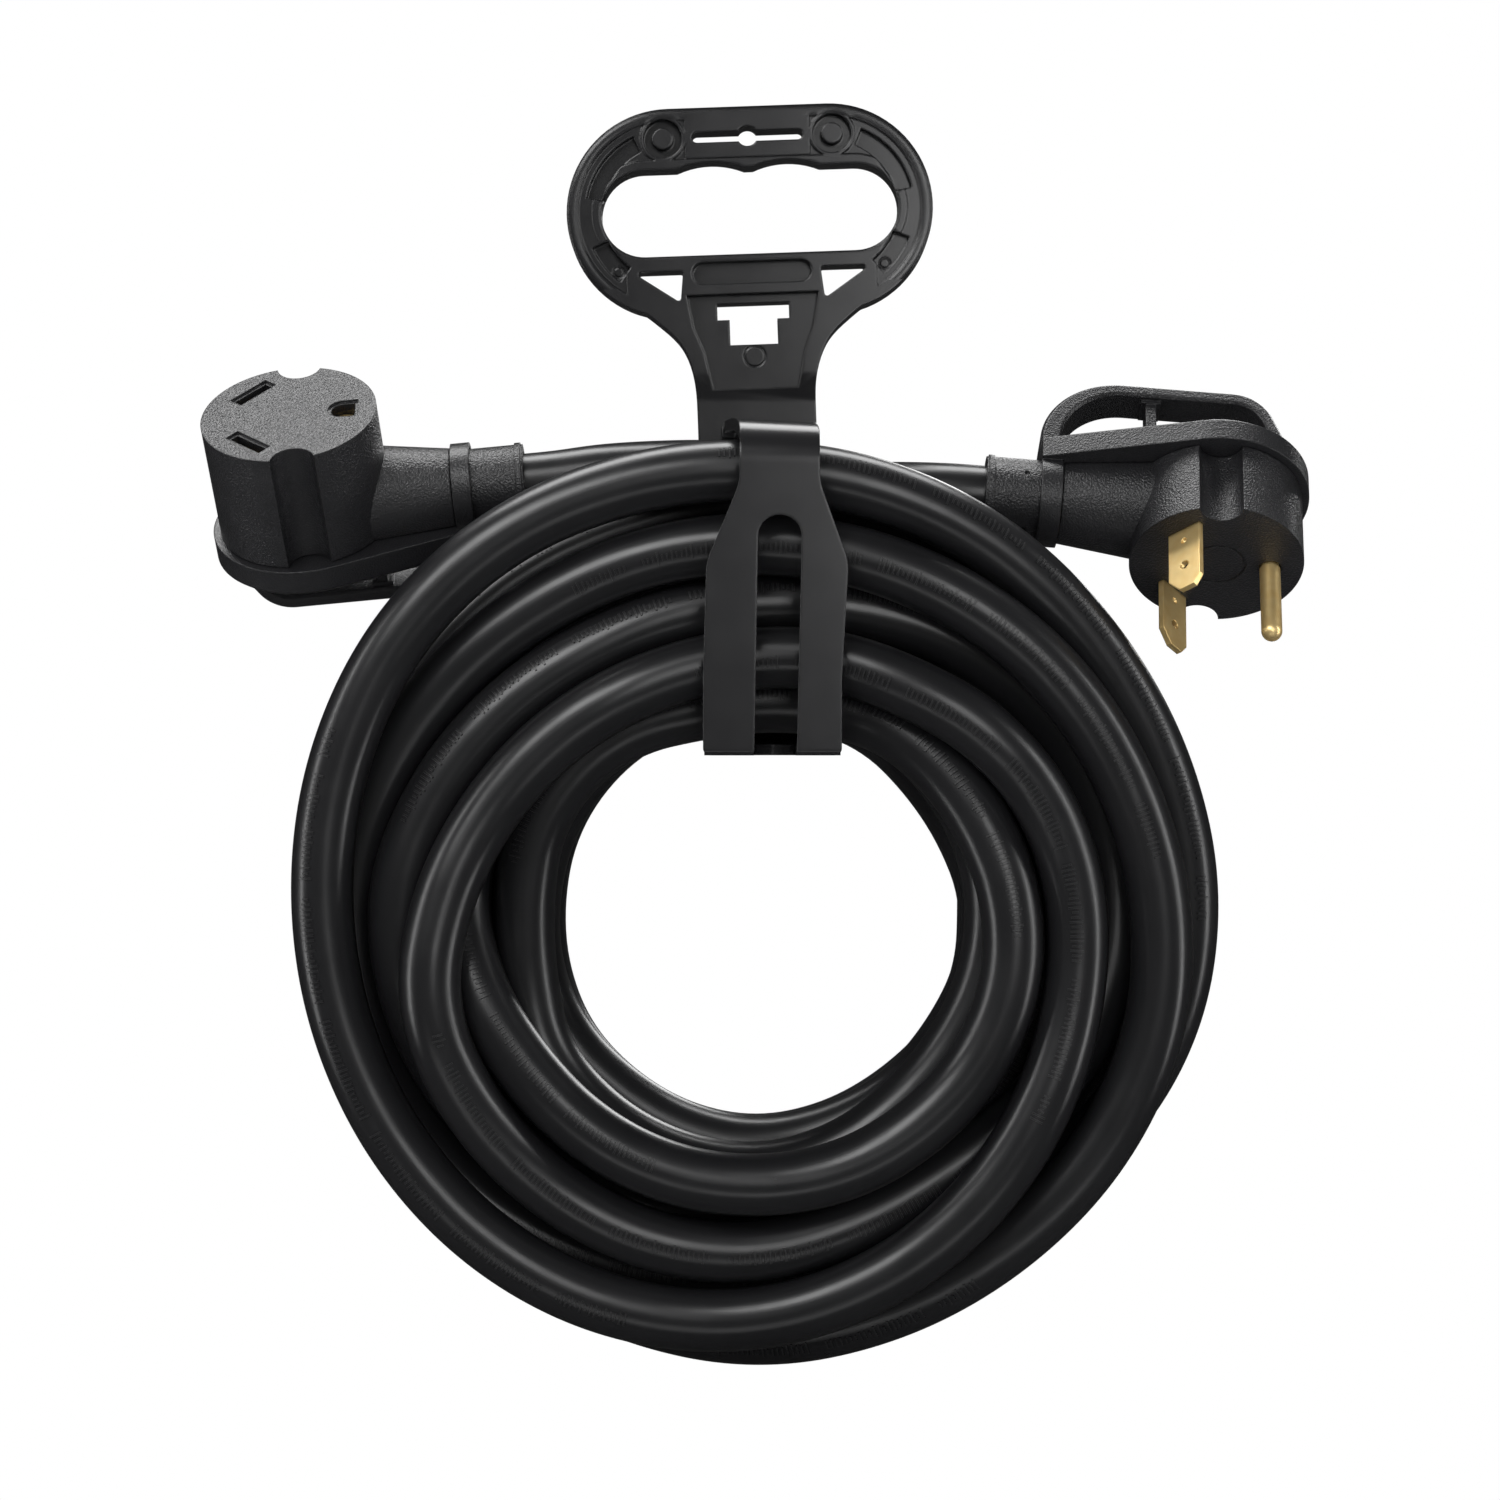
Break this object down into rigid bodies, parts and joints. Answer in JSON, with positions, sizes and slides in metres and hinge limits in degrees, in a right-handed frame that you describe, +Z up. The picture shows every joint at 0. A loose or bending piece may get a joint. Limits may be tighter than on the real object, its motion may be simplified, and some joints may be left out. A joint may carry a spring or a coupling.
{
  "type": "shore power cord",
  "caption": "Coiled three-conductor shore power cord with an angled plug, an angled connector and a strap organiser with a carry handle.",
  "frame": {"origin": "centre of the coil's open eye, at mid depth of the turns in front of and behind it", "axes": "+X to the right seen from the front, +Y away from the front, +Z up towards the carry handle"},
  "size_m": [0.3098, 0.08, 0.3575],
  "materials": {
    "cable_black": "smooth, softly glossy extruded PVC",
    "insulation_black": "smooth",
    "insulation_white": "smooth",
    "insulation_green": "smooth",
    "copper": "bright stranded copper, drawn as one rod",
    "overmould_black": "fine spark-eroded grain",
    "grip_black": "fine grain, slightly smoother",
    "insert_black": "smooth",
    "contact_brass": "bright stamped brass",
    "organiser_black": "smooth moulded polymer"
  },
  "bodies": {
    "cord_and_handle": {"cable_jacket": "cable_black", "hot_insulation": "insulation_black", "neutral_insulation": "insulation_white", "ground_insulation": "insulation_green", "hot_conductor": "copper", "neutral_conductor": "copper", "ground_conductor": "copper", "connector_body": "overmould_black", "plug_body": "overmould_black", "connector_grip": "grip_black", "plug_grip": "grip_black", "connector_insert": "insert_black", "plug_bridge": "insert_black", "connector_hot_contact": "contact_brass", "connector_neutral_contact": "contact_brass", "connector_ground_sleeve": "contact_brass", "plug_hot_blade": "contact_brass", "plug_neutral_blade": "contact_brass", "plug_ground_pin": "contact_brass", "organiser_handle": "organiser_black"},
    "front_strap": {"organiser_front_strap": "organiser_black"}
  },
  "joints": [
    {"name": "strap_bend", "type": "hinge", "parent": "cord_and_handle", "child": "front_strap", "pos_m": [0.0041, -0.0308, 0.041], "axis": [1, 0, 0], "range_deg": [0, 110], "stiffness_Nm_per_rad": 0.02}
  ]
}
